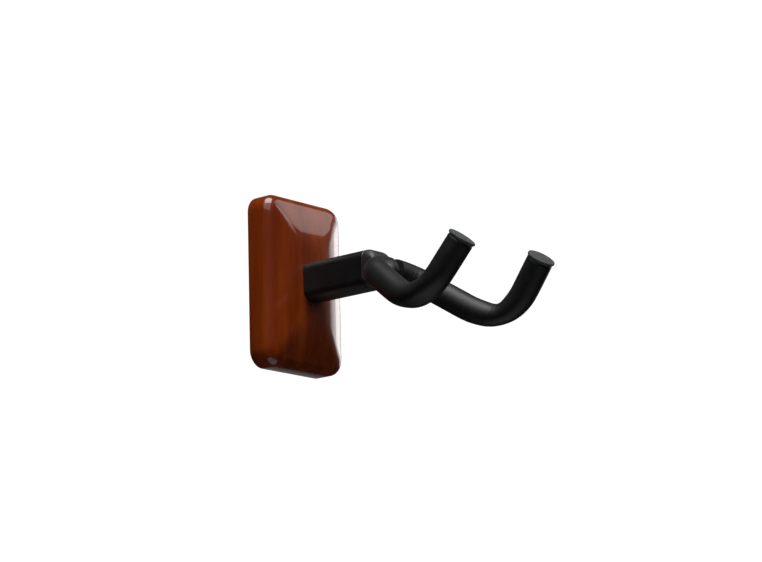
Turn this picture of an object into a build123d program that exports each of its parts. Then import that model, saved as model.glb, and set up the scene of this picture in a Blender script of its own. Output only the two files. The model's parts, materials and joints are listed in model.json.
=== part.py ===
from build123d import *
from math import cos, radians, sin, sqrt
import os

# Wall guitar hanger: a lacquered wood plate, a short neck, and a foam covered yoke that swivels on the neck.
# Millimetres. +Z is up. The wall is the plane Y = 0 and the hanger stands out towards -Y.
# A "depth" is a distance from the wall, so a point at depth d has Y = -d.
# The origin is the middle of the wood plate's back face.

# Wood plate
plate_width = 82.5
plate_height = 129.0
plate_depth = 28.0  # from the wall to the flat top of the raised middle
plate_side_depth = 19.0  # straight side walls, before the bevels start
plate_corner_r = 12.5
plate_edge_r = 4.0  # rounding between a side wall and its bevel
raised_width = 37.0
raised_height = 75.0
raised_corner_r = 5.0
raised_edge_r = 7.0  # rounding between a bevel and the raised middle

# Hanging hardware let into the back of the wood
hanger_plate_width = 44.0
hanger_plate_margin = 1.0  # plate above and below the hollow for the wall screw's head
hanger_plate_thickness = 2.0
hanger_plate_corner_r = 3.0
entry_hole_r = 4.5  # passes the head of a wall screw
entry_inset = 24.5  # from the wood's top or bottom edge to the nearer entry hole
entry_drop = 4.5  # how far an entry hole lies below its plate's middle
keyhole_slot_r = 2.4  # takes the shank of a wall screw
keyhole_travel = 9.0  # from the entry hole's centre up to the slot's end
head_room_depth = 8.0  # hollow in front of a keyhole, for the wall screw's head
head_room_width = 14.0
head_room_corner_r = 6.5
hanger_screw_spacing = 32.0
hanger_screw_r = 1.6
hanger_screw_head_r = 3.2
hanger_screw_length = 12.0

# Anchor: a steel flange on the back end of the neck's tube
anchor_width = 48.0
anchor_height = 37.0
anchor_thickness = 3.0
anchor_corner_r = 5.0
anchor_margin = 2.0  # pocket around the flange
anchor_screw_spacing_x = 35.0
anchor_screw_spacing_z = 24.0
anchor_screw_r = 2.1
anchor_screw_head_r = 4.0
anchor_screw_cover = 4.5  # wood left in front of a screw's point

# Neck
pivot_z = 0.0  # height of the neck's and the swivel's common axis
neck_side_wall = 2.0  # outside the front bush's flange
neck_floor_wall = 1.9  # under the stop pin's slot
neck_corner_r = 6.2
neck_front_depth = 85.0
neck_front_chamfer = 0.5
neck_socket_depth = 2.0  # how far the neck shell is let into the wood
tube_wall = 2.0
tube_front_setback = 2.0  # from the neck's front face back to the tube's end

# Swivel
stud_r = 4.0
thread_r = 3.0
bush_wall = 2.0
bush_length = 12.0
bush_flange = 1.5
front_flange_lip = 1.2  # front bush's flange beyond the tube
thrust_washer_thickness = 1.0
disc_spring_height = 1.2
disc_spring_thickness = 0.6
disc_spring_r = 7.5
flat_washer_r = 7.0
flat_washer_thickness = 1.4
nut_across_flats = 10.0
nut_height = 6.0
nut_ring_height = 1.6
nut_ring_r = 4.1
stud_tail = 0.4  # stud showing past the nut
stud_end_gap = 1.0  # from the wall to the end of the stud
stud_head_lip = 3.0  # head beyond the shaft
stud_weld_depth = 4.0  # from the rod's middle back to the stud's end
stop_pin_r = 1.2
stop_pin_in_head = 3.4
stop_pin_in_slot = 4.0
swivel_limit = 30.0  # degrees each way, set by the stop pin in its curved slot

# Swivel head
head_length = 11.0
head_back_wall = 4.0
head_top_r = 10.5  # rounding of the top towards the front
head_bottom_r = 4.0
head_edge_r = 2.0  # rounding of the front face's other edges

# Yoke
rod_r = 5.0
foam_r = 9.7
saddle_floor = 1.5  # between the foam and the back of the stud's head
rod_drop = 3.2  # the rod's middle below the pivot
elbow_r = 26.5  # bend beside the middle, on the rod's centre line
elbow_corner_x = 22.0  # where the middle's line and an arm's line meet
arm_length = 57.0  # from the elbow's corner to the first corner of the heel
arm_splay = 18.7  # degrees, outward from straight ahead
arm_drop = 34.9  # degrees below level
heel_entry_r = 75.0  # a heel is three arcs: a gentle one, the bend itself and another gentle one
heel_entry_turn = 10.4  # degrees
heel_entry_length = 23.2  # between the heel's first two corners
heel_r = 26.0
heel_exit_r = 45.0
heel_exit_turn = 15.6  # degrees
heel_exit_length = 21.8  # between the heel's last two corners
tip_length = 31.9  # from the heel's last corner to the rod's end
tip_rise = 50.2  # degrees above level
tip_lean = 4.6  # degrees, inward
left_foam_start = 0.0  # along the rod, from its middle to a sleeve's inner end
right_foam_start = 6.0
cap_overhang = 0.9  # cap beyond the foam
cap_thickness = 3.0
cap_edge_r = 0.9
cap_skirt_wall = 1.5
cap_skirt_length = 10.0

# Clearances
running_gap = 0.05  # radial, shaft in bush
face_gap = 0.05  # between faces that turn on each other
fit_gap = 0.05  # between pieces that are pushed or screwed together
slot_gap = 0.2  # around the stop pin and around the thrust washer
foam_gap_r = 0.1  # around the foam and inside it
tube_hole_gap = 0.1  # around the tube where it passes through the wood
stud_hole_gap = 0.3  # around the stud's head, in the foam
same_place = 0.01  # places closer than this are one place

# Sizes and depths that follow
tube_bore_r = stud_r + bush_wall
tube_r = tube_bore_r + tube_wall
front_flange_r = tube_r + front_flange_lip
stop_circle_r = front_flange_r + stop_pin_r + 2 * slot_gap
neck_width = 2 * (front_flange_r + slot_gap + neck_side_wall)
neck_height = 2 * (stop_circle_r + stop_pin_r + slot_gap + neck_floor_wall)
stud_head_r = stud_r + stud_head_lip
cap_r = foam_r + cap_overhang
head_room_height = keyhole_travel + head_room_width
hanger_plate_height = head_room_height + 2 * hanger_plate_margin
entry_spacing = plate_height - 2 * entry_inset

nut_back = stud_end_gap + stud_tail
nut_front = nut_back + nut_height
washer_front = nut_front + flat_washer_thickness
spring_front = washer_front + disc_spring_height
bush_back = spring_front + face_gap
anchor_back = bush_back + bush_flange
anchor_front = anchor_back + anchor_thickness
anchor_screw_length = plate_depth - anchor_screw_cover - anchor_back
tube_front = neck_front_depth - tube_front_setback
front_flange_front = tube_front + bush_flange
thrust_front = front_flange_front + thrust_washer_thickness
head_back = thrust_front + face_gap
head_front = head_back + head_length
stud_head_back = head_back + head_back_wall
rod_depth = stud_head_back + saddle_floor + foam_r


def at(depth, x=0.0, z=0.0):
    """A plane parallel to the wall, facing the room."""
    return Plane(origin=(x, -depth, z), x_dir=(1, 0, 0), z_dir=(0, -1, 0))


def block(width, height, corner_r, back, front, x=0.0, z=0.0):
    return extrude(at(back, x, z) * RectangleRounded(width, height, corner_r), front - back)


def disc(radius, back, front, x=0.0, z=0.0):
    return extrude(at(back, x, z) * Circle(radius), front - back)


def ring(outer_r, inner_r, back, front, x=0.0, z=0.0):
    return disc(outer_r, back, front, x, z) - disc(inner_r, back, front, x, z)


def along_pivot(section):
    """Turn a section, drawn as (radius, depth), about the swivel's axis."""
    profile = make_face(Polyline([(r, -d) for r, d in section], close=True))
    return revolve(Pos(0, 0, pivot_z) * profile, Axis((0, 0, pivot_z), (0, 1, 0)))


def edges_at(shape, depth):
    """The edges that lie in the plane at this depth."""
    return shape.edges().filter_by(lambda edge: abs(edge.center().Y + depth) < same_place)


def countersunk_screw(shank_r, head_r, length, back, x, z):
    """A screw driven from behind, its flat head level with the depth `back`."""
    cone = head_r - shank_r
    head = extrude(at(back, x, z) * Circle(head_r), cone, taper=45)
    shank = disc(shank_r, back, back + length - shank_r, x, z)
    point = extrude(at(back + length - shank_r, x, z) * Circle(shank_r), shank_r * 0.9, taper=45)
    slot = Pos(x, -back, z) * (Box(head_r * 1.1, cone, 0.8) + Box(0.8, cone, head_r * 1.1))
    return head + shank + point - slot


def screw_hole(shank_r, head_r, length, back, x, z):
    """The space that a countersunk screw takes, with a small clearance."""
    wide_r = head_r + fit_gap
    narrow_r = shank_r + fit_gap
    cone = extrude(at(back, x, z) * Circle(wide_r), wide_r - narrow_r, taper=45)
    return cone + disc(narrow_r, back, back + length + fit_gap, x, z)


# Hanging hardware

hanger_plate_z = [side * entry_spacing / 2 + entry_drop for side in (1, -1)]
hanger_screw_places = [
    (side * hanger_screw_spacing / 2, z) for z in hanger_plate_z for side in (-1, 1)
]
anchor_screw_places = [
    (i * anchor_screw_spacing_x / 2, pivot_z + j * anchor_screw_spacing_z / 2)
    for i in (-1, 1)
    for j in (-1, 1)
]


def hanger_screw_holes():
    holes = [
        screw_hole(hanger_screw_r, hanger_screw_head_r, hanger_screw_length, 0, x, z)
        for x, z in hanger_screw_places
    ]
    return Part() + holes


def anchor_screw_holes():
    holes = [
        screw_hole(anchor_screw_r, anchor_screw_head_r, anchor_screw_length, anchor_back, x, z)
        for x, z in anchor_screw_places
    ]
    return Part() + holes


def make_hanger_plate(z):
    plate = block(hanger_plate_width, hanger_plate_height, hanger_plate_corner_r, 0, hanger_plate_thickness, z=z)
    entry_z = z - entry_drop
    entry = disc(entry_hole_r, 0, hanger_plate_thickness, z=entry_z)
    slot_end = disc(keyhole_slot_r, 0, hanger_plate_thickness, z=entry_z + keyhole_travel)
    slot_profile = at(0, z=entry_z + keyhole_travel / 2) * Rectangle(2 * keyhole_slot_r, keyhole_travel)
    slot = extrude(slot_profile, hanger_plate_thickness)
    return plate - entry - slot_end - slot - hanger_screw_holes()


def make_hanger_screws():
    return [
        countersunk_screw(hanger_screw_r, hanger_screw_head_r, hanger_screw_length, 0, x, z)
        for x, z in hanger_screw_places
    ]


def make_anchor_screws():
    return [
        countersunk_screw(anchor_screw_r, anchor_screw_head_r, anchor_screw_length, anchor_back, x, z)
        for x, z in anchor_screw_places
    ]


def make_anchor_flange():
    flange = block(anchor_width, anchor_height, anchor_corner_r, anchor_back, anchor_front, z=pivot_z)
    tube_hole = disc(tube_r, anchor_back, anchor_front, z=pivot_z)
    return flange - tube_hole - anchor_screw_holes()


# Wood plate


def wood_blank():
    sides = block(plate_width, plate_height, plate_corner_r, 0, plate_side_depth)
    bevel = loft(
        [
            at(plate_side_depth) * RectangleRounded(plate_width, plate_height, plate_corner_r),
            at(plate_depth) * RectangleRounded(raised_width, raised_height, raised_corner_r),
        ]
    )
    blank = sides + bevel
    blank = fillet(edges_at(blank, plate_side_depth), plate_edge_r)
    return fillet(edges_at(blank, plate_depth), raised_edge_r)


def make_wood_plate():
    wood = wood_blank()
    wood -= block(
        anchor_width + 2 * anchor_margin,
        anchor_height + 2 * anchor_margin,
        anchor_corner_r + anchor_margin,
        0,
        anchor_front,
        z=pivot_z,
    )
    wood -= disc(tube_r + tube_hole_gap, 0, plate_depth, z=pivot_z)
    wood -= neck_block(plate_depth - neck_socket_depth, plate_depth, grow=slot_gap)
    wood -= anchor_screw_holes()
    wood -= hanger_screw_holes()
    for z in hanger_plate_z:
        wood -= block(
            hanger_plate_width + 2 * slot_gap,
            hanger_plate_height + 2 * slot_gap,
            hanger_plate_corner_r + slot_gap,
            0,
            hanger_plate_thickness,
            z=z,
        )
        wood -= block(
            head_room_width,
            head_room_height,
            head_room_corner_r,
            0,
            hanger_plate_thickness + head_room_depth,
            z=z - entry_drop + keyhole_travel / 2,
        )
    return wood


# Neck


def neck_block(back, front, grow=0.0):
    return block(
        neck_width + 2 * grow, neck_height + 2 * grow, neck_corner_r + grow, back, front, z=pivot_z
    )


def make_neck_tube():
    return ring(tube_r, tube_bore_r, anchor_back, tube_front, z=pivot_z)


def stop_slot():
    """Curved slot below the axis, open at the neck's front face, that the stop pin runs in."""
    back = neck_front_depth - stop_pin_in_slot - slot_gap
    middle = CenterArc((0, 0), stop_circle_r, -90 - swivel_limit, 2 * swivel_limit)
    outline = SlotArc(middle, 2 * (stop_pin_r + slot_gap))
    return extrude(at(back, z=pivot_z) * outline, neck_front_depth - back)


def make_neck_shell():
    shell = neck_block(plate_depth - neck_socket_depth, neck_front_depth)
    shell = chamfer(edges_at(shell, neck_front_depth), neck_front_chamfer)
    shell -= disc(tube_r + fit_gap, 0, neck_front_depth, z=pivot_z)
    shell -= disc(front_flange_r + slot_gap, tube_front, neck_front_depth, z=pivot_z)
    return shell - stop_slot()


def make_front_bushing():
    sleeve = ring(tube_bore_r, stud_r + running_gap, tube_front - bush_length, tube_front, z=pivot_z)
    flange = ring(front_flange_r, stud_r + running_gap, tube_front, front_flange_front, z=pivot_z)
    return sleeve + flange


def make_rear_bushing():
    sleeve = ring(tube_bore_r, stud_r + running_gap, anchor_back, anchor_back + bush_length, z=pivot_z)
    flange = ring(tube_r, stud_r + running_gap, bush_back, anchor_back, z=pivot_z)
    return sleeve + flange


def make_thrust_washer():
    return ring(front_flange_r, stud_r + slot_gap, front_flange_front, thrust_front, z=pivot_z)


# Swivel


def make_disc_spring():
    inner_r = stud_r + slot_gap
    return along_pivot(
        [
            (inner_r, washer_front),
            (inner_r, washer_front + disc_spring_thickness),
            (disc_spring_r, spring_front),
            (disc_spring_r, spring_front - disc_spring_thickness),
        ]
    )


def make_flat_washer():
    return ring(flat_washer_r, thread_r + slot_gap, nut_front, washer_front, z=pivot_z)


def make_lock_nut():
    hexagon = at(nut_back, z=pivot_z) * RegularPolygon(nut_across_flats / sqrt(3), 6)
    nut = extrude(hexagon, nut_height)
    nut -= disc(nut_ring_r, nut_back, nut_back + nut_ring_height, z=pivot_z)
    return nut - disc(thread_r, nut_back, nut_front, z=pivot_z)


def make_nut_ring():
    return ring(nut_ring_r, thread_r, nut_back, nut_back + nut_ring_height, z=pivot_z)


def make_swivel_stud():
    thread = disc(thread_r, stud_end_gap, washer_front, z=pivot_z)
    shaft = disc(stud_r, washer_front, stud_head_back, z=pivot_z)
    head = disc(stud_head_r, stud_head_back, rod_depth - stud_weld_depth, z=pivot_z)
    return thread + shaft + head - make_yoke_rod()


def make_stop_pin():
    return disc(
        stop_pin_r,
        neck_front_depth - stop_pin_in_slot,
        head_back + stop_pin_in_head,
        z=pivot_z - stop_circle_r,
    )


def head_blank():
    """The neck's own section carried on, with its top rounded down towards the front."""
    blank = neck_block(head_back, head_front)
    blank = fillet(edges_at(blank, head_front), head_edge_r)
    middle = (-(head_back + head_front) / 2, pivot_z)
    side_view = Pos(*middle) * Rectangle(head_length, neck_height)
    lower_front = side_view.vertices().sort_by(Axis.X)[:2].sort_by(Axis.Y)[0]
    side_view = fillet(lower_front, head_bottom_r)
    upper_front = side_view.vertices().sort_by(Axis.Y)[-2:].sort_by(Axis.X)[0]
    side_view = fillet(upper_front, head_top_r)
    return blank & extrude(Plane.YZ * side_view, neck_width, both=True)


def make_swivel_head():
    head = head_blank()
    head -= disc(stud_r + fit_gap, head_back, head_front, z=pivot_z)
    head -= disc(stud_head_r + fit_gap, stud_head_back, head_front, z=pivot_z)
    pin_hole_end = head_back + stop_pin_in_head + fit_gap
    head -= disc(stop_pin_r, head_back, pin_hole_end, z=pivot_z - stop_circle_r)
    return head - swept_along_yoke(foam_r + foam_gap_r)


# Yoke

rod_middle = Vector(0, -rod_depth, pivot_z - rod_drop)
arm_radii = [elbow_r, heel_entry_r, heel_r, heel_exit_r]


def arm_direction(side):
    """Unit vector along an arm, from its elbow to its heel. side is 1 for right and -1 for left."""
    splay = radians(arm_splay)
    drop = radians(arm_drop)
    return Vector(side * sin(splay), -cos(splay) * cos(drop), -cos(splay) * sin(drop))


def tip_direction(side):
    """Unit vector along an arm's upturned tip."""
    lean = radians(tip_lean)
    rise = radians(tip_rise)
    return Vector(-side * sin(lean), -cos(lean) * cos(rise), cos(lean) * sin(rise))


def turned(start, end, degrees):
    """The unit vector start, turned part of the way towards end."""
    sideways = (end - start * start.dot(end)).normalized()
    return start * cos(radians(degrees)) + sideways * sin(radians(degrees))


def arm_points(side):
    """Corners of one arm's centre line, from the rod's middle to its end."""
    along = arm_direction(side)
    upward = tip_direction(side)
    points = [rod_middle]
    points.append(rod_middle + Vector(side * elbow_corner_x, 0, 0))
    points.append(points[-1] + along * arm_length)
    points.append(points[-1] + turned(along, upward, heel_entry_turn) * heel_entry_length)
    points.append(points[-1] + turned(upward, along, heel_exit_turn) * heel_exit_length)
    points.append(points[-1] + upward * tip_length)
    return points


def tube_along(path, radius):
    section = Plane(origin=path @ 0, z_dir=path % 0) * Circle(radius)
    return sweep(section, path=path)


def swept_along_yoke(radius):
    corners = arm_points(-1)[:0:-1] + arm_points(1)[1:]
    path = FilletPolyline(*corners, radius=arm_radii[::-1] + arm_radii)
    return tube_along(path, radius)


def make_yoke_rod():
    return swept_along_yoke(rod_r)


def tip_plane(side):
    return Plane(origin=arm_points(side)[-1], z_dir=tip_direction(side))


def make_foam_sleeve(side, start):
    path = FilletPolyline(*arm_points(side), radius=arm_radii)
    inner_end = path.location_at(start, PositionMode.LENGTH).position
    inner_plane = Plane(origin=inner_end, z_dir=path.tangent_at(start, PositionMode.LENGTH))
    sleeve = tube_along(path, foam_r) - tube_along(path, rod_r + foam_gap_r)
    sleeve -= extrude(inner_plane * Circle(2 * foam_r), -2 * foam_r)
    sleeve -= disc(stud_head_r + stud_hole_gap, head_back, rod_depth, z=pivot_z)
    skirt_r = rod_r + cap_skirt_wall + foam_gap_r
    return sleeve - extrude(tip_plane(side) * Circle(skirt_r), -cap_skirt_length - foam_gap_r)


def make_end_cap(side):
    plane = tip_plane(side)
    top = extrude(plane * Circle(cap_r), cap_thickness)
    outer_edge = top.edges().sort_by(lambda e: (e.center() - plane.origin).dot(plane.z_dir))[-1]
    top = fillet(outer_edge, cap_edge_r)
    skirt = plane * (Circle(rod_r + cap_skirt_wall) - Circle(rod_r))
    return top + extrude(skirt, -cap_skirt_length)


parts = {
    "wood_plate": make_wood_plate(),
    "upper_keyhole_plate": make_hanger_plate(hanger_plate_z[0]),
    "lower_keyhole_plate": make_hanger_plate(hanger_plate_z[1]),
    "keyhole_plate_screws": make_hanger_screws(),
    "anchor_flange": make_anchor_flange(),
    "anchor_screws": make_anchor_screws(),
    "neck_tube": make_neck_tube(),
    "neck_shell": make_neck_shell(),
    "front_bushing": make_front_bushing(),
    "rear_bushing": make_rear_bushing(),
    "thrust_washer": make_thrust_washer(),
    "swivel_stud": make_swivel_stud(),
    "stop_pin": make_stop_pin(),
    "swivel_head": make_swivel_head(),
    "disc_spring": make_disc_spring(),
    "flat_washer": make_flat_washer(),
    "lock_nut": make_lock_nut(),
    "lock_nut_ring": make_nut_ring(),
    "yoke_rod": make_yoke_rod(),
    "left_foam_sleeve": make_foam_sleeve(-1, left_foam_start),
    "right_foam_sleeve": make_foam_sleeve(1, right_foam_start),
    "left_end_cap": make_end_cap(-1),
    "right_end_cap": make_end_cap(1),
}

os.makedirs("parts", exist_ok=True)
for name, shape in parts.items():
    solids = shape if isinstance(shape, list) else [shape]
    export_step(Compound(children=solids) if len(solids) > 1 else solids[0], f"parts/{name}.step")
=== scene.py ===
import json
from math import cos, exp, pi, radians, sin, sqrt, tan

import bmesh
import bpy
from mathutils import Matrix, Vector, noise


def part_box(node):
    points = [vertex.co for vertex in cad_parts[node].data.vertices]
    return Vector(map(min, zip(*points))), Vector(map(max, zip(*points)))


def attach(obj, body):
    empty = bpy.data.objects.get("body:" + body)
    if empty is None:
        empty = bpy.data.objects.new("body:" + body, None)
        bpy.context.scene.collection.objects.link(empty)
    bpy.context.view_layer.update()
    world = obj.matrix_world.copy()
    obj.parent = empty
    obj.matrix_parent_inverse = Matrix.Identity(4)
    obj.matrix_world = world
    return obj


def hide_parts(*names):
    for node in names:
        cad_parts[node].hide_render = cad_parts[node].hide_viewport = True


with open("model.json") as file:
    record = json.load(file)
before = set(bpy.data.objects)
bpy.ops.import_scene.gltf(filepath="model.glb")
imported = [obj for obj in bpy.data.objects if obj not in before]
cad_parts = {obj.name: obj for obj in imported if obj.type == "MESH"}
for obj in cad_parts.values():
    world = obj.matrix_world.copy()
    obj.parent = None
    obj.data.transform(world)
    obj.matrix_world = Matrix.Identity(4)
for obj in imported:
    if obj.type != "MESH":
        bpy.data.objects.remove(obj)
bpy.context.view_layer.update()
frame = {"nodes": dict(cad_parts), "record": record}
nodes = frame["nodes"]

# Metres, in the CAD's own frame: +Z up, the wall is Y = 0, the hanger stands out towards -Y.
# A "depth" is a distance from the wall, so a point at depth d has Y = -d.
MM = 0.001

# Wood plate, repeated from the CAD where a node's box doesn't give it
plate_low, plate_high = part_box("wood_plate")
plate_half_width = plate_high.x
plate_half_height = plate_high.z
plate_depth = -plate_low.y
plate_side_depth = 19 * MM
plate_corner_r = 12.5 * MM
raised_half_width = 18.5 * MM
raised_half_height = 37.5 * MM
plate_edge_r = 5.5 * MM  # rounding between a side wall and its bevel
plate_back_edge_r = 1.0 * MM
hip_softness = 2.4 * MM  # how softly two bevels run into each other
raised_softness = 4.5 * MM  # how softly the bevels run into the raised middle
anchor_pocket_half = (26 * MM, 20.5 * MM)
anchor_pocket_corner_r = 7 * MM
hanger_corner_r = 3.2 * MM
hanger_gap = 0.2 * MM
pockets_half_height = 60 * MM  # all the pockets in the back lie within this height and depth
pockets_depth = 17 * MM
back_skin = 0.5 * MM  # lacquer reaches this far into the pockets
head_room_half = (7 * MM, 11.5 * MM)
head_room_depth = 10 * MM
head_room_corner_r = 6.5 * MM
entry_drop = 4.5 * MM
keyhole_travel = 9 * MM
tube_hole_r = 8.1 * MM
neck_socket_depth = 2 * MM

# Neck and swivel head
neck_low, neck_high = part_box("neck_shell")
neck_half_width = neck_high.x
neck_half_height = (neck_high.z - neck_low.z) / 2
pivot_z = (neck_high.z + neck_low.z) / 2
neck_corner_r = 6.2 * MM
head_low, head_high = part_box("swivel_head")
head_back = -head_high.y
head_front = -head_low.y
head_top_r = 10.5 * MM
head_bottom_r = 4 * MM
head_side_r = 2.2 * MM
stud_bore_r = 4.05 * MM
stop_pin_r = 1.2 * MM
pin_hole_r = 1.22 * MM
pin_hole_length = 3.4 * MM
stud_head_r = 7.05 * MM
stud_head_back = head_back + 4 * MM

# Yoke, repeated from the CAD
rod_r = 5 * MM
foam_r = 9.7 * MM
rod_depth = stud_head_back + 1.5 * MM + foam_r
rod_z = pivot_z - 3.2 * MM
elbow_r = 26.5 * MM
elbow_corner_x = 22 * MM
arm_length = 57 * MM
arm_splay = radians(18.7)
arm_drop = radians(34.9)
heel_entry_r = 75 * MM
heel_entry_turn = radians(10.4)
heel_entry_length = 23.2 * MM
heel_r = 26 * MM
heel_exit_r = 45 * MM
heel_exit_turn = radians(15.6)
heel_exit_length = 21.8 * MM
tip_length = 31.9 * MM
tip_rise = radians(50.2)
tip_lean = radians(4.6)
arm_radii = (elbow_r, heel_entry_r, heel_r, heel_exit_r)
foam_start = {-1: 0.0, 1: 6.0 * MM}  # from the rod's middle to each sleeve's inner end
heel_presses = {-1: -1.4 * MM, 1: 1.6 * MM}  # how much each sleeve is pressed in, inside the heel
heel_press_length = 9 * MM
heel_draws = {-1: 3.9 * MM, 1: 2.0 * MM}  # how much each sleeve is drawn flat, outside the heel
heel_draw_length = 18 * MM
elbow_draw = 0.5 * MM
foam_ruck = 0.09 * MM
foam_ruck_spacing = 4.6 * MM
foam_lump = 0.07 * MM
foam_lump_scale = 70
foam_end_r = 0.5 * MM
foam_gap_r = 0.1 * MM  # between the foam and what it slides over
stud_hole_gap = 0.3 * MM
cap_r = 10.4 * MM
cap_thickness = 3 * MM
cap_skirt_r = 6.5 * MM
cap_skirt_length = 10 * MM

# Camera, from the photo's perspective
camera_azimuth = radians(-49.76)
camera_elevation = radians(-12.84)
camera_roll = radians(-1.55)
camera_distance = 2.0107
camera_aim = (70.7 * MM, 5.98 * MM)  # the picture's middle, right of and above the origin
camera_lens = 127.4  # mm, on a 36 mm wide sensor

# Surround: white to look at. Its light comes from glows over a dim rest, each given by its direction, the
# cosines of the angles where it starts and where it is full, and its strength.
surround_seen = 1.06
dim_strength = 0.008
surround_glows = (
    ((0.97, -0.04, 0.22), 0.945, 0.992, 2.3),  # right
    ((0.74, 0.63, 0.22), 0.86, 1.0, 0.25),  # right, behind the hanger
)


# Mesh helpers


def mesh_object(name, verts, faces, smooth_angle=40):
    """A closed mesh object, smooth except at edges sharper than smooth_angle."""
    mesh = bpy.data.meshes.new(name)
    mesh.from_pydata([tuple(v) for v in verts], [], faces)
    shape = bmesh.new()
    shape.from_mesh(mesh)
    bmesh.ops.recalc_face_normals(shape, faces=shape.faces)
    shape.to_mesh(mesh)
    shape.free()
    mesh.shade_smooth()
    mesh.set_sharp_from_angle(angle=radians(smooth_angle))
    piece = bpy.data.objects.new(name, mesh)
    bpy.context.scene.collection.objects.link(piece)
    return piece


def loft(rings, closed=False):
    """Vertices and faces of a skin over rings of equal length. Its ends are capped, or joined if closed."""
    count = len(rings[0])
    verts = [v for ring in rings for v in ring]
    faces = []
    last = len(rings) if closed else len(rings) - 1
    for i in range(last):
        a = i * count
        b = (i + 1) % len(rings) * count
        for j in range(count):
            k = (j + 1) % count
            faces.append((a + j, a + k, b + k, b + j))
    if not closed:
        faces.append(tuple(range(count)))
        faces.append(tuple(range(len(verts) - count, len(verts))))
    return verts, faces


def rounded_outline(half_x, half_z, corner_r, per_corner=10, per_x=1, per_z=1):
    """Points (x, z) round a rounded rectangle."""
    points = []
    corners = [(1, 1), (-1, 1), (-1, -1), (1, -1)]
    for i, (sx, sz) in enumerate(corners):
        cx = sx * (half_x - corner_r)
        cz = sz * (half_z - corner_r)
        for j in range(per_corner + 1):
            angle = pi / 2 * (i + j / per_corner)
            points.append((cx + corner_r * cos(angle), cz + corner_r * sin(angle)))
        steps = per_x if i % 2 == 0 else per_z
        nx, nz = corners[(i + 1) % 4]
        next_angle = pi / 2 * (i + 1)
        start = points[-1]
        end = (
            nx * (half_x - corner_r) + corner_r * cos(next_angle),
            nz * (half_z - corner_r) + corner_r * sin(next_angle),
        )
        for j in range(1, steps):
            t = j / steps
            points.append((start[0] + t * (end[0] - start[0]), start[1] + t * (end[1] - start[1])))
    return points


def prism(name, half_x, half_z, corner_r, back, front, x=0.0, z=0.0):
    """A rounded bar along the depth axis, used to cut pockets."""
    outline = rounded_outline(half_x, half_z, corner_r)
    rings = [[(x + px, -depth, z + pz) for px, pz in outline] for depth in (back, front)]
    return mesh_object(name, *loft(rings))


def cut(piece, cutters):
    """Take the cutters out of the piece, and delete them."""
    for cutter in cutters:
        difference = piece.modifiers.new("cut", "BOOLEAN")
        difference.operation = "DIFFERENCE"
        difference.solver = "EXACT"
        difference.object = cutter
    depsgraph = bpy.context.evaluated_depsgraph_get()
    result = bpy.data.meshes.new_from_object(piece.evaluated_get(depsgraph))
    piece.modifiers.clear()
    piece.data = result
    result.set_sharp_from_angle(angle=radians(40))
    for cutter in cutters:
        bpy.data.objects.remove(cutter)
    return piece


def dress(piece, body, slot, material, *stands_for):
    """Material and body of a new piece, and the CAD nodes that it stands for. The slot argument is not used.
    """
    piece.data.materials.clear()
    piece.data.materials.append(material)
    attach(piece, body)
    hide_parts(*stands_for)
    return piece


# Material helpers


def new_material(name):
    material = bpy.data.materials.new(name)
    material.use_nodes = True
    tree = material.node_tree
    return material, tree, tree.nodes["Principled BSDF"]


def add(tree, kind, inputs=None, **settings):
    """A node with its settings and inputs. An input is a value, or a socket to link from."""
    node = tree.nodes.new(kind)
    for key, value in settings.items():
        setattr(node, key, value)
    for key, value in (inputs or {}).items():
        if isinstance(value, bpy.types.NodeSocket):
            tree.links.new(value, node.inputs[key])
        else:
            node.inputs[key].default_value = value
    return node


def feed(tree, shader, **inputs):
    for key, value in inputs.items():
        name = key.replace("_", " ")
        if isinstance(value, bpy.types.NodeSocket):
            tree.links.new(value, shader.inputs[name])
        else:
            shader.inputs[name].default_value = value


def stretched(tree, scale):
    """Object coordinates scaled along each axis."""
    place = add(tree, "ShaderNodeTexCoord").outputs["Object"]
    return add(tree, "ShaderNodeMapping", {"Vector": place, "Scale": scale}).outputs["Vector"]


def noise_at(tree, vector, scale, detail=4.0, roughness=0.55):
    inputs = {"Vector": vector, "Scale": scale, "Detail": detail, "Roughness": roughness}
    return add(tree, "ShaderNodeTexNoise", inputs).outputs["Fac"]


def ramp(tree, factor, stops):
    """A colour ramp. stops are (position, colour)."""
    node = add(tree, "ShaderNodeValToRGB", {"Fac": factor})
    elements = node.color_ramp.elements
    while len(elements) < len(stops):
        elements.new(0.5)
    for element, (position, colour) in zip(elements, stops):
        element.position = position
        element.color = (*colour, 1.0)
    return node.outputs["Color"]


def spread(tree, factor, low, high):
    """A factor from 0 to 1 turned into a value from low to high."""
    inputs = {"Value": factor, "To Min": low, "To Max": high}
    return add(tree, "ShaderNodeMapRange", inputs).outputs["Result"]


def mixed(tree, factor, a, b, blend="MIX"):
    node = add(tree, "ShaderNodeMix", data_type="RGBA", blend_type=blend)
    for socket, value in ((node.inputs[0], factor), (node.inputs[6], a), (node.inputs[7], b)):
        if isinstance(value, bpy.types.NodeSocket):
            tree.links.new(value, socket)
        elif isinstance(value, tuple):
            socket.default_value = (*value, 1.0)
        else:
            socket.default_value = value
    return node.outputs[2]


def bump(tree, height, distance, strength=1.0, under=None):
    inputs = {"Height": height, "Distance": distance, "Strength": strength}
    if under is not None:
        inputs["Normal"] = under
    return add(tree, "ShaderNodeBump", inputs).outputs["Normal"]


# Materials


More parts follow.
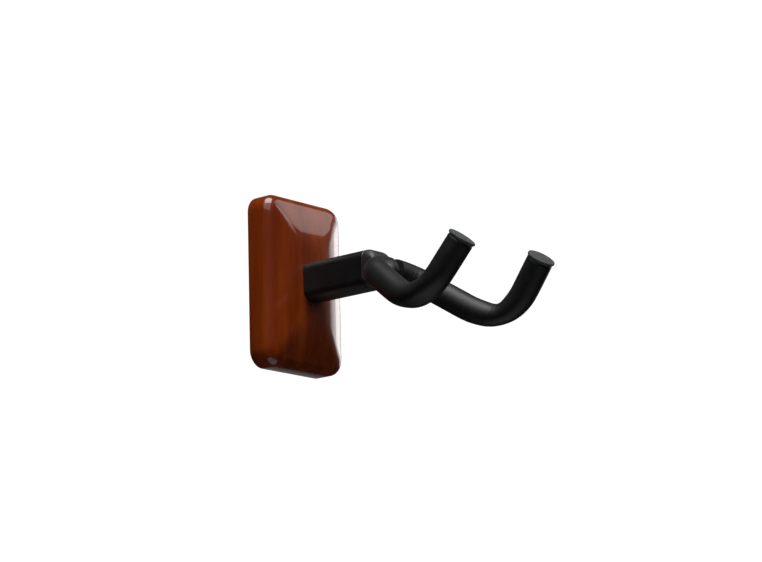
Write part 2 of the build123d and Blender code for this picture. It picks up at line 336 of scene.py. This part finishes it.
def lacquered_wood():
    """Reddish hardwood, grain upright, under clear gloss lacquer."""
    material, tree, shader = new_material("lacquered_wood")
    figure = noise_at(tree, stretched(tree, (1.0, 1.0, 0.12)), 85.0, 3.0)
    streaks = noise_at(tree, stretched(tree, (1.0, 1.0, 0.02)), 420.0, 3.0)
    pores = noise_at(tree, stretched(tree, (1.0, 1.0, 0.05)), 1500.0, 2.0)
    browns = [(0.32, (0.15, 0.018, 0.0012)), (0.5, (0.20, 0.029, 0.0016)), (0.68, (0.26, 0.046, 0.003))]
    ground = ramp(tree, figure, browns)
    streaked = mixed(tree, spread(tree, streaks, 0.0, 0.45), ground, (0.12, 0.012, 0.001))
    open_pores = ramp(tree, pores, [(0.30, (0.45, 0.35, 0.3)), (0.42, (1.0, 1.0, 1.0))])
    colour = mixed(tree, 0.4, streaked, open_pores, "MULTIPLY")
    feed(tree, shader, Base_Color=colour, Roughness=spread(tree, figure, 0.5, 0.4), Specular_IOR_Level=0.1)
    feed(tree, shader, Coat_Weight=1.0, Coat_Roughness=0.09, Coat_IOR=1.5)
    feed(tree, shader, Normal=bump(tree, pores, 0.03 * MM, 0.5))
    waviness = noise_at(tree, stretched(tree, (1.0, 1.0, 0.5)), 45.0, 2.0)
    feed(tree, shader, Coat_Normal=bump(tree, waviness, 0.10 * MM, 0.4))
    return material


def raw_wood():
    """The same wood, unlacquered, inside the pockets in its back."""
    material, tree, shader = new_material("raw_wood")
    figure = noise_at(tree, stretched(tree, (1.0, 1.0, 0.08)), 140.0, 4.0)
    pores = noise_at(tree, stretched(tree, (1.0, 1.0, 0.05)), 1500.0, 2.0)
    colour = ramp(tree, figure, [(0.3, (0.16, 0.06, 0.03)), (0.7, (0.27, 0.12, 0.065))])
    feed(tree, shader, Base_Color=mixed(tree, 0.4, colour, pores, "MULTIPLY"))
    feed(tree, shader, Roughness=spread(tree, pores, 0.6, 0.85), Normal=bump(tree, pores, 0.05 * MM))
    return material


def moulded_plastic(name, dark, light, roughness):
    """Satin moulded plastic with a fine spark-eroded texture."""
    material, tree, shader = new_material(name)
    grain = noise_at(tree, stretched(tree, (1.0, 1.0, 1.0)), 2600.0, 2.0)
    cloud = noise_at(tree, stretched(tree, (1.0, 1.0, 1.0)), 90.0, 3.0)
    feed(tree, shader, Base_Color=ramp(tree, cloud, [(0.3, dark), (0.7, light)]))
    feed(tree, shader, Roughness=spread(tree, cloud, roughness - 0.05, roughness + 0.07))
    feed(tree, shader, Normal=bump(tree, grain, 0.03 * MM, 0.6))
    return material


def foam_rubber():
    """Black closed-cell foam: a soft skin with fine cells and a low sheen."""
    material, tree, shader = new_material("foam_rubber")
    place = stretched(tree, (1.0, 1.0, 1.0))
    voronoi = add(tree, "ShaderNodeTexVoronoi", {"Vector": place, "Scale": 1900.0}, feature="F1")
    cells = voronoi.outputs["Distance"]
    fine = noise_at(tree, place, 1300.0, 3.0)
    cloud = noise_at(tree, place, 130.0, 4.0, 0.6)
    blacks = [(0.3, (0.002, 0.0024, 0.0028)), (0.75, (0.0045, 0.005, 0.0055))]
    feed(tree, shader, Base_Color=ramp(tree, cloud, blacks))
    feed(tree, shader, Roughness=spread(tree, cloud, 0.44, 0.56))
    feed(tree, shader, Specular_IOR_Level=0.4, Sheen_Weight=0.02, Sheen_Roughness=0.4)
    skin = bump(tree, fine, 0.05 * MM, 0.8)
    feed(tree, shader, Normal=bump(tree, cells, 0.05 * MM, 0.6, skin))
    return material


def cap_rubber():
    """Dark grey rubber, duller than the foam's skin."""
    material, tree, shader = new_material("cap_rubber")
    place = stretched(tree, (1.0, 1.0, 1.0))
    cloud = noise_at(tree, place, 240.0, 4.0)
    grain = noise_at(tree, place, 2200.0, 2.0)
    greys = [(0.3, (0.030, 0.032, 0.032)), (0.7, (0.055, 0.058, 0.058))]
    feed(tree, shader, Base_Color=ramp(tree, cloud, greys))
    feed(tree, shader, Roughness=spread(tree, cloud, 0.62, 0.78), Specular_IOR_Level=0.4)
    feed(tree, shader, Normal=bump(tree, grain, 0.05 * MM, 0.7))
    return material


def worked_metal(name, dark, light, roughness, grain_scale, metallic=1.0):
    """Plated, turned or coated metal: cloudy colour, fine scratches and uneven gloss."""
    material, tree, shader = new_material(name)
    place = stretched(tree, (1.0, 1.0, 1.0))
    cloud = noise_at(tree, place, 160.0, 4.0)
    scratches = noise_at(tree, stretched(tree, grain_scale), 900.0, 3.0)
    feed(tree, shader, Base_Color=ramp(tree, cloud, [(0.3, dark), (0.7, light)]), Metallic=metallic)
    feed(tree, shader, Roughness=spread(tree, scratches, roughness - 0.1, roughness + 0.14))
    feed(tree, shader, Normal=bump(tree, scratches, 0.02 * MM, 0.5))
    return material


wood_material = lacquered_wood()
raw_wood_material = raw_wood()
along_z = (1.0, 1.0, 0.1)  # scratches drawn out along Z
round_y = (1.0, 12.0, 1.0)  # turning marks round the depth axis
even = (1.0, 1.0, 1.0)
neck_material = moulded_plastic("black_moulding", (0.0015, 0.0015, 0.002), (0.003, 0.003, 0.0035), 0.42)
head_material = moulded_plastic("head_moulding", (0.012, 0.013, 0.0135), (0.02, 0.021, 0.022), 0.5)
foam_material = foam_rubber()
cap_material = cap_rubber()
cad_materials = {
    "zinc_plate": worked_metal("zinc_plate", (0.50, 0.51, 0.54), (0.66, 0.67, 0.69), 0.34, along_z),
    "screw_steel": worked_metal("screw_steel", (0.62, 0.52, 0.30), (0.74, 0.66, 0.42), 0.33, even),
    "bright_steel": worked_metal("bright_steel", (0.46, 0.46, 0.47), (0.58, 0.58, 0.59), 0.28, round_y),
    "spring_steel": worked_metal("spring_steel", (0.20, 0.19, 0.18), (0.30, 0.29, 0.28), 0.4, even),
    "black_steel": worked_metal(
        "black_steel", (0.012, 0.012, 0.012), (0.02, 0.02, 0.02), 0.45, even, metallic=0.0
    ),
    "nylon": moulded_plastic("nylon", (0.62, 0.60, 0.54), (0.74, 0.72, 0.66), 0.45),
    "nut_nylon": moulded_plastic("nut_nylon", (0.03, 0.08, 0.26), (0.05, 0.12, 0.36), 0.4),
    "black_moulding": neck_material,
}


def dress_cad_nodes():
    """Better materials on the CAD nodes that keep their own shape."""
    for part in frame["record"]["subparts"]:
        material = cad_materials.get(part["material_slot"])
        if material is not None:
            mesh = nodes[part["node"]].data
            mesh.materials.clear()
            mesh.materials.append(material)


# Wood plate


def soft_min(a, b, softness):
    mix = max(softness - abs(a - b), 0) / softness
    return min(a, b) - mix * mix * softness / 4


def plate_surface(x, z):
    """Depth of the plate's front: four bevels and the raised middle, run softly into each other."""
    rise = plate_depth - plate_side_depth
    beside = plate_side_depth + rise * (plate_half_width - abs(x)) / (plate_half_width - raised_half_width)
    above = plate_side_depth + rise * (plate_half_height - abs(z)) / (plate_half_height - raised_half_height)
    bevel = soft_min(beside, above, hip_softness)
    return soft_min(bevel, plate_depth, raised_softness)


def plate_outline(inset):
    share = inset / plate_half_width
    corner_r = min(plate_corner_r * (1 - 0.5 * share), plate_half_width - inset)
    return rounded_outline(
        plate_half_width - inset, plate_half_height - inset, corner_r, per_corner=14, per_x=30, per_z=52
    )


def plate_rings():
    """Rings from the back face, up the side wall, over the rounded edge and in across the front."""
    rings = []
    steps = 4
    for i in range(steps + 1):
        angle = pi / 2 * i / steps
        inset = plate_back_edge_r * (1 - sin(angle))
        depth = plate_back_edge_r * (1 - cos(angle))
        rings.append([(x, -depth, z) for x, z in plate_outline(inset)])
    steps = 10
    insets = [plate_edge_r * (1 - cos(pi / 2 * i / steps)) for i in range(steps + 1)]
    front_step = 0.9 * MM
    inner = plate_half_width - 0.6 * MM
    count = round((inner - plate_edge_r) / front_step)
    insets += [plate_edge_r + (inner - plate_edge_r) * (i + 1) / count for i in range(count)]
    for inset in insets:
        short = plate_edge_r - min(inset, plate_edge_r)
        drop = plate_edge_r - sqrt(plate_edge_r**2 - short**2)
        rings.append([(x, drop - plate_surface(x, z), z) for x, z in plate_outline(inset)])
    return rings


def plate_cutters():
    past_back = -2 * MM
    past_front = plate_depth + 2 * MM
    anchor_front = -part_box("anchor_flange")[0].y
    cutters = [
        prism("cut_anchor", *anchor_pocket_half, anchor_pocket_corner_r, past_back, anchor_front, z=pivot_z),
        prism("cut_tube", tube_hole_r, tube_hole_r, tube_hole_r * 0.999, past_back, past_front, z=pivot_z),
        prism(
            "cut_socket",
            neck_half_width + hanger_gap,
            neck_half_height + hanger_gap,
            neck_corner_r + hanger_gap,
            plate_depth - neck_socket_depth,
            past_front,
            z=pivot_z,
        ),
    ]
    for name in ("upper_keyhole_plate", "lower_keyhole_plate"):
        low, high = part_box(name)
        middle_z = (low.z + high.z) / 2
        cutters.append(
            prism(
                "cut_" + name,
                high.x + hanger_gap,
                (high.z - low.z) / 2 + hanger_gap,
                hanger_corner_r,
                past_back,
                -low.y,
                z=middle_z,
            )
        )
        room_z = middle_z - entry_drop + keyhole_travel / 2
        cutters.append(
            prism("cut_room", *head_room_half, head_room_corner_r, past_back, head_room_depth, z=room_z)
        )
    return cutters


def make_wood_block():
    block = mesh_object("wood_block", *loft(plate_rings()), smooth_angle=50)
    cut(block, plate_cutters())
    dress(block, "wall_mount", "lacquered_wood", wood_material, "wood_plate")
    block.data.materials.append(raw_wood_material)
    for face in block.data.polygons:
        middle = face.center
        among_pockets = abs(middle.x) < anchor_pocket_half[0] + MM and abs(middle.z) < pockets_half_height
        if among_pockets and back_skin < -middle.y < pockets_depth:
            face.material_index = 1
    return block


# Yoke path


def turned(start, end, angle):
    """The unit vector start, turned part of the way towards end."""
    sideways = (end - start * start.dot(end)).normalized()
    return start * cos(angle) + sideways * sin(angle)


def arm_corners(side):
    """Corners of an arm's centre line, from the rod's middle to its end. side is 1 for right, -1 for left."""
    level = cos(arm_splay)
    along = Vector((side * sin(arm_splay), -level * cos(arm_drop), -level * sin(arm_drop)))
    upright = cos(tip_lean)
    upward = Vector((-side * sin(tip_lean), -upright * cos(tip_rise), upright * sin(tip_rise)))
    points = [Vector((0, -rod_depth, rod_z))]
    points.append(points[0] + Vector((side * elbow_corner_x, 0, 0)))
    points.append(points[-1] + along * arm_length)
    points.append(points[-1] + turned(along, upward, heel_entry_turn) * heel_entry_length)
    points.append(points[-1] + turned(upward, along, heel_exit_turn) * heel_exit_length)
    points.append(points[-1] + upward * tip_length)
    return points


def arm_line(side, step):
    """Points along an arm, each (place, direction, inward side of the bend)."""
    corners = arm_corners(side)
    line = []
    here = corners[0]
    for i, radius in enumerate(arm_radii):
        before = (corners[i + 1] - corners[i]).normalized()
        after = (corners[i + 2] - corners[i + 1]).normalized()
        turn = before.angle(after)
        inward = (after - before * before.dot(after)).normalized()
        reach = radius * tan(turn / 2)
        bend_start = corners[i + 1] - before * reach
        line += straight_run(here, bend_start, before, inward, step)
        centre = bend_start + inward * radius
        count = max(2, round(radius * turn / step))
        for j in range(count):
            angle = turn * j / count
            outward = -inward * cos(angle) + before * sin(angle)
            heading = before * cos(angle) + inward * sin(angle)
            line.append((centre + outward * radius, heading, -outward))
        here = corners[i + 1] + after * reach
        last_inward = inward * cos(turn) - before * sin(turn)
    line += straight_run(here, corners[-1], after, last_inward, step)
    line.append((corners[-1], after, last_inward))
    return line


def straight_run(start, end, heading, inward, step):
    count = max(1, round((end - start).length / step))
    return [(start.lerp(end, i / count), heading, inward) for i in range(count)]


def carried_frames(line):
    """A sideways direction for each point of a line, carried along without twist."""
    sideways = line[0][1].cross(Vector((0, 0, 1))).normalized()
    frames = []
    before = line[0][1]
    for place, heading, inward in line:
        sideways = before.rotation_difference(heading) @ sideways
        sideways = (sideways - heading * sideways.dot(heading)).normalized()
        before = heading
        frames.append((place, heading, sideways, heading.cross(sideways), inward))
    return frames


def trimmed(line, from_start, from_end):
    """The part of a line that is left when a length is cut from each end."""
    lengths = [0.0]
    for a, b in zip(line, line[1:]):
        lengths.append(lengths[-1] + (b[0] - a[0]).length)
    total = lengths[-1]
    kept = [p for p, at in zip(line, lengths) if from_start < at < total - from_end]
    first = line[0]
    last = line[-1]
    if from_start > 0:
        kept.insert(0, (first[0] + first[1] * from_start, *first[1:]))
    kept.append((last[0] - last[1] * from_end, *last[1:]))
    return kept


def round_section(frame_here, radius_at, sides):
    """A ring round one place of the line, with its radius given for each direction."""
    place, _, across, up, _ = frame_here
    ring = []
    for j in range(sides):
        angle = 2 * pi * j / sides
        out = across * cos(angle) + up * sin(angle)
        ring.append(place + out * radius_at(out))
    return ring


# Foam sleeves


def bump_at(along, middle, width):
    """A smooth hill from 0 up to 1 at the middle."""
    return exp(-(((along - middle) / width) ** 2))


def foam_radius(out, inward, along, elbow_at, heel_at, heel_press, heel_draw):
    """The sleeve's radius round the rod: lightly rucked and pressed in inside the heel, or fuller there when
    heel_press is negative, and drawn flat outside it."""
    toward = out.dot(inward)
    inside = max(toward, 0) ** 2
    outside = max(-toward, 0) ** 2
    heel = bump_at(along, heel_at, heel_press_length)
    pressed = heel_press * heel * inside
    drawn = heel_draw * bump_at(along, heel_at, heel_draw_length) * outside
    elbow = bump_at(along, elbow_at, heel_press_length)
    drawn += elbow_draw * elbow * outside
    ruck = foam_ruck * sin(along / foam_ruck_spacing * 2 * pi) * inside * (heel + elbow)
    return foam_r - pressed - drawn + ruck


def make_foam_sleeve(side, name, node):
    sides = 72
    step = 0.8 * MM
    line = trimmed(arm_line(side, step), foam_start[side], 0.0)
    frames = carried_frames(line)
    lengths = [0.0]
    for a, b in zip(frames, frames[1:]):
        lengths.append(lengths[-1] + (b[0] - a[0]).length)
    total = lengths[-1]
    corners = arm_corners(side)
    elbow_at = nearest_length(frames, lengths, corners[1])
    heel_at = nearest_length(frames, lengths, corners[3])
    outer = []
    for here, along in zip(frames, lengths):

        def radius_at(out):
            lumps = foam_lump * noise.noise((here[0] + out * foam_r) * foam_lump_scale)
            smooth = foam_radius(
                out, here[4], along, elbow_at, heel_at, heel_presses[side], heel_draws[side]
            )
            return smooth + lumps - foam_end_r * edge_share(along, total, foam_end_r)

        outer.append(round_section(here, radius_at, sides))
    bore_r = rod_r + foam_gap_r
    inner = [round_section(here, lambda out: bore_r, sides) for here in reversed(frames)]
    sleeve = mesh_object(name, *loft(outer + inner, closed=True), smooth_angle=50)
    heading = line[-1][1]
    stud_hole = round_bar(
        "cut_stud",
        Vector((0, -head_back, pivot_z)),
        Vector((0, -1, 0)),
        stud_head_r + stud_hole_gap,
        rod_depth - head_back,
    )
    past_end = MM
    skirt_hole = round_bar(
        "cut_skirt",
        corners[-1] + heading * past_end,
        -heading,
        cap_skirt_r + foam_gap_r,
        past_end + cap_skirt_length + foam_gap_r,
    )
    cut(sleeve, [stud_hole, skirt_hole])
    dress(sleeve, "yoke", "black_foam", foam_material, node)
    return sleeve


def nearest_length(frames, lengths, corner):
    """How far along the line is the place nearest to a corner."""
    return min(zip(frames, lengths), key=lambda pair: (pair[0][0] - corner).length)[1]


def edge_share(along, total, edge_r):
    """How far a cut edge is rounded back at this place, from 0 to 1."""
    near = min(along, total - along)
    short = 1 - min(near / edge_r, 1)
    return 1 - sqrt(max(1 - short * short, 0))


def circle(middle, heading, radius, sides):
    """Points round a circle that faces along heading."""
    across = heading.orthogonal().normalized()
    up = heading.cross(across)
    angles = [2 * pi * j / sides for j in range(sides)]
    return [middle + (across * cos(angle) + up * sin(angle)) * radius for angle in angles]


def round_bar(name, start, heading, radius, length, sides=64):
    ends = (start, start + heading * length)
    return mesh_object(name, *loft([circle(place, heading, radius, sides) for place in ends]))


# End caps


def cap_profile():
    """(radius, height) from the middle of the outer face, round the rim and down to the skirt's end."""
    dome = 0.9 * MM
    rim = cap_thickness - 0.4 * MM
    edge = 0.6 * MM
    points = [(r * cap_r, rim + dome * (1 - r * r)) for r in (0.06, 0.2, 0.34, 0.48, 0.62, 0.76, 0.88)]
    steps = 6
    for i in range(steps + 1):
        angle = pi / 2 * i / steps
        points.append((cap_r - edge + edge * sin(angle), rim - edge + edge * cos(angle)))
    points += [(cap_r, 1.2 * MM), (cap_r - 0.25 * MM, 0.8 * MM), (cap_r - 0.8 * MM, 0.5 * MM)]
    points += [(cap_r - 1.1 * MM, 0.0), (cap_skirt_r, 0.0)]
    points += [(cap_skirt_r, -cap_skirt_length), (rod_r, -cap_skirt_length), (rod_r, 0.0)]
    return points


def make_end_cap(side, name, node):
    sides = 96
    end = arm_corners(side)[-1]
    heading = (end - arm_corners(side)[-2]).normalized()
    rings = [circle(end + heading * height, heading, radius, sides) for radius, height in cap_profile()]
    cap = mesh_object(name, *loft(rings), smooth_angle=35)
    return dress(cap, "yoke", "cap_rubber", cap_material, node)


# Swivel head


def head_extent(depth):
    """Half width, lowest and highest z of the head at a depth, from its rounded side view."""
    def pulled_in(radius):
        short = max(depth - (head_front - radius), 0)
        return radius - sqrt(max(radius * radius - short * short, 0))

    half_width = neck_half_width - pulled_in(head_side_r)
    low = pivot_z - neck_half_height + pulled_in(head_bottom_r)
    high = pivot_z + neck_half_height - pulled_in(head_top_r)
    return half_width, low, high


def make_swivel_head():
    back_edge = 0.4 * MM
    depths = [
        (head_back, back_edge),
        (head_back + back_edge * 0.3, back_edge * 0.3),
        (head_back + back_edge, 0.0),
    ]
    steps = 26
    start = head_front - head_top_r
    depths += [(start + (head_front - start) * sin(pi / 2 * i / steps), 0.0) for i in range(1, steps + 1)]
    rings = []
    for depth, inset in depths:
        half_width, low, high = head_extent(min(depth, head_front - 0.01 * MM))
        middle = (low + high) / 2
        half_height = (high - low) / 2
        corner_r = min(neck_corner_r, half_width - 0.1 * MM, half_height - 0.1 * MM)
        outline = rounded_outline(
            half_width - inset, half_height - inset, corner_r - inset, per_corner=12, per_x=8, per_z=8
        )
        rings.append([(x, -depth, middle + z) for x, z in outline])
    head = mesh_object("swivel_head_shell", *loft(rings), smooth_angle=50)
    axis = Vector((0, -1, 0))
    behind = -head_back + MM
    through = 20 * MM
    pin_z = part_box("stop_pin")[0].z + stop_pin_r
    cutters = [
        round_bar("cut_bore", Vector((0, behind, pivot_z)), axis, stud_bore_r, through),
        round_bar("cut_seat", Vector((0, -stud_head_back, pivot_z)), axis, stud_head_r, through),
        round_bar("cut_pin", Vector((0, behind, pin_z)), axis, pin_hole_r, pin_hole_length + MM),
        yoke_tube("cut_saddle", foam_r + foam_gap_r),
    ]
    cut(head, cutters)
    return dress(head, "yoke", "head_moulding", head_material, "swivel_head")


def yoke_tube(name, radius):
    """A plain tube of this radius round the rod, from the middle past both elbows."""
    past_middle = 0.1 * MM
    short_of_end = 60 * MM
    left = trimmed(arm_line(-1, MM), past_middle, short_of_end)
    right = trimmed(arm_line(1, MM), past_middle, short_of_end)
    backwards = [(place, -heading, inward) for place, heading, inward in reversed(left)]
    frames = carried_frames(backwards + right)
    rings = [round_section(here, lambda out: radius, 64) for here in frames]
    return mesh_object(name, *loft(rings))


# Room: pale floor and backdrop, soft lights, camera


def make_floor():
    """A pale floor far below, which glows a little to stay pale."""
    size = 3.5
    drop = -6.0
    verts = [(-size, -size, drop), (size, -size, drop), (size, size, drop), (-size, size, drop)]
    floor = mesh_object("floor", verts, [(0, 1, 2, 3)])
    material, tree, shader = new_material("pale_floor")
    cloud = noise_at(tree, stretched(tree, (1.0, 1.0, 1.0)), 3.0, 2.0)
    whites = [(0.3, (0.80, 0.80, 0.80)), (0.7, (0.84, 0.84, 0.84))]
    feed(tree, shader, Base_Color=ramp(tree, cloud, whites), Roughness=0.9)
    feed(tree, shader, Emission_Color=(1.0, 1.0, 1.0, 1.0), Emission_Strength=0.5)
    floor.data.materials.append(material)


def make_world():
    """A plain white surround, lit from a few sides and hardly at all from the rest."""
    world = bpy.data.worlds.new("studio")
    bpy.context.scene.world = world
    world.use_nodes = True
    tree = world.node_tree
    way = add(tree, "ShaderNodeTexCoord").outputs["Generated"]
    total = dim_strength
    for direction, starts, full, strength in surround_glows:
        product = add(tree, "ShaderNodeVectorMath", {0: way, 1: direction}, operation="DOT_PRODUCT")
        toward = product.outputs["Value"]
        glow = add(
            tree,
            "ShaderNodeMapRange",
            {"Value": toward, "From Min": starts, "From Max": full, "To Min": 0.0, "To Max": strength},
            interpolation_type="SMOOTHSTEP",
        ).outputs["Result"]
        total = add(tree, "ShaderNodeMath", {0: glow, 1: total}, operation="ADD").outputs["Value"]
    seen = add(tree, "ShaderNodeLightPath").outputs["Is Camera Ray"]
    strength = add(
        tree, "ShaderNodeMapRange", {"Value": seen, "To Min": total, "To Max": surround_seen}
    ).outputs["Result"]
    background = tree.nodes["Background"]
    background.inputs["Color"].default_value = (1.0, 1.0, 1.0, 1.0)
    tree.links.new(strength, background.inputs["Strength"])


def soft_light(name, place, target, size, power):
    data = bpy.data.lights.new(name, "AREA")
    data.shape = "RECTANGLE"
    data.size, data.size_y = size
    data.energy = power
    lamp = bpy.data.objects.new(name, data)
    lamp.visible_camera = False
    bpy.context.scene.collection.objects.link(lamp)
    lamp.location = place
    lamp.rotation_euler = (Vector(target) - Vector(place)).to_track_quat("-Z", "Y").to_euler()
    return lamp


def make_camera():
    data = bpy.data.cameras.new("camera")
    data.sensor_width = 36.0
    data.lens = camera_lens
    data.clip_start = 0.05
    camera = bpy.data.objects.new("camera", data)
    bpy.context.scene.collection.objects.link(camera)
    back = Vector((
        sin(camera_azimuth) * cos(camera_elevation),
        -cos(camera_azimuth) * cos(camera_elevation),
        sin(camera_elevation),
    ))
    level_right = Vector((cos(camera_azimuth), sin(camera_azimuth), 0))
    level_up = back.cross(level_right)
    right = level_right * cos(camera_roll) + level_up * sin(camera_roll)
    up = level_up * cos(camera_roll) - level_right * sin(camera_roll)
    place = right * camera_aim[0] + up * camera_aim[1] + back * camera_distance
    camera.matrix_world = Matrix.Translation(place) @ Matrix((right, up, back)).transposed().to_4x4()
    bpy.context.scene.camera = camera


def light_scene():
    bpy.context.scene.view_settings.view_transform = "Standard"
    make_world()
    middle = (0, -0.08, 0)
    soft_light("side", (2.9, 0.15, 0.70), middle, (0.6, 1.7), 6)
    soft_light("upper_right", (1.45, -1.45, 1.62), middle, (1.7, 1.1), 9)
    soft_light("glint", (1.18, -1.98, 1.13), middle, (0.5, 0.5), 1.2)
    soft_light("overhead", (-0.28, -0.32, 0.95), middle, (0.8, 0.7), 13)
    soft_light("upper_left", (-1.5, -1.0, 2.0), middle, (3.0, 3.0), 44)
    make_floor()
    make_camera()


dress_cad_nodes()
make_wood_block()
for side, word in ((-1, "left"), (1, "right")):
    make_foam_sleeve(side, word + "_foam", word + "_foam_sleeve")
    make_end_cap(side, word + "_cap", word + "_end_cap")
make_swivel_head()
light_scene()
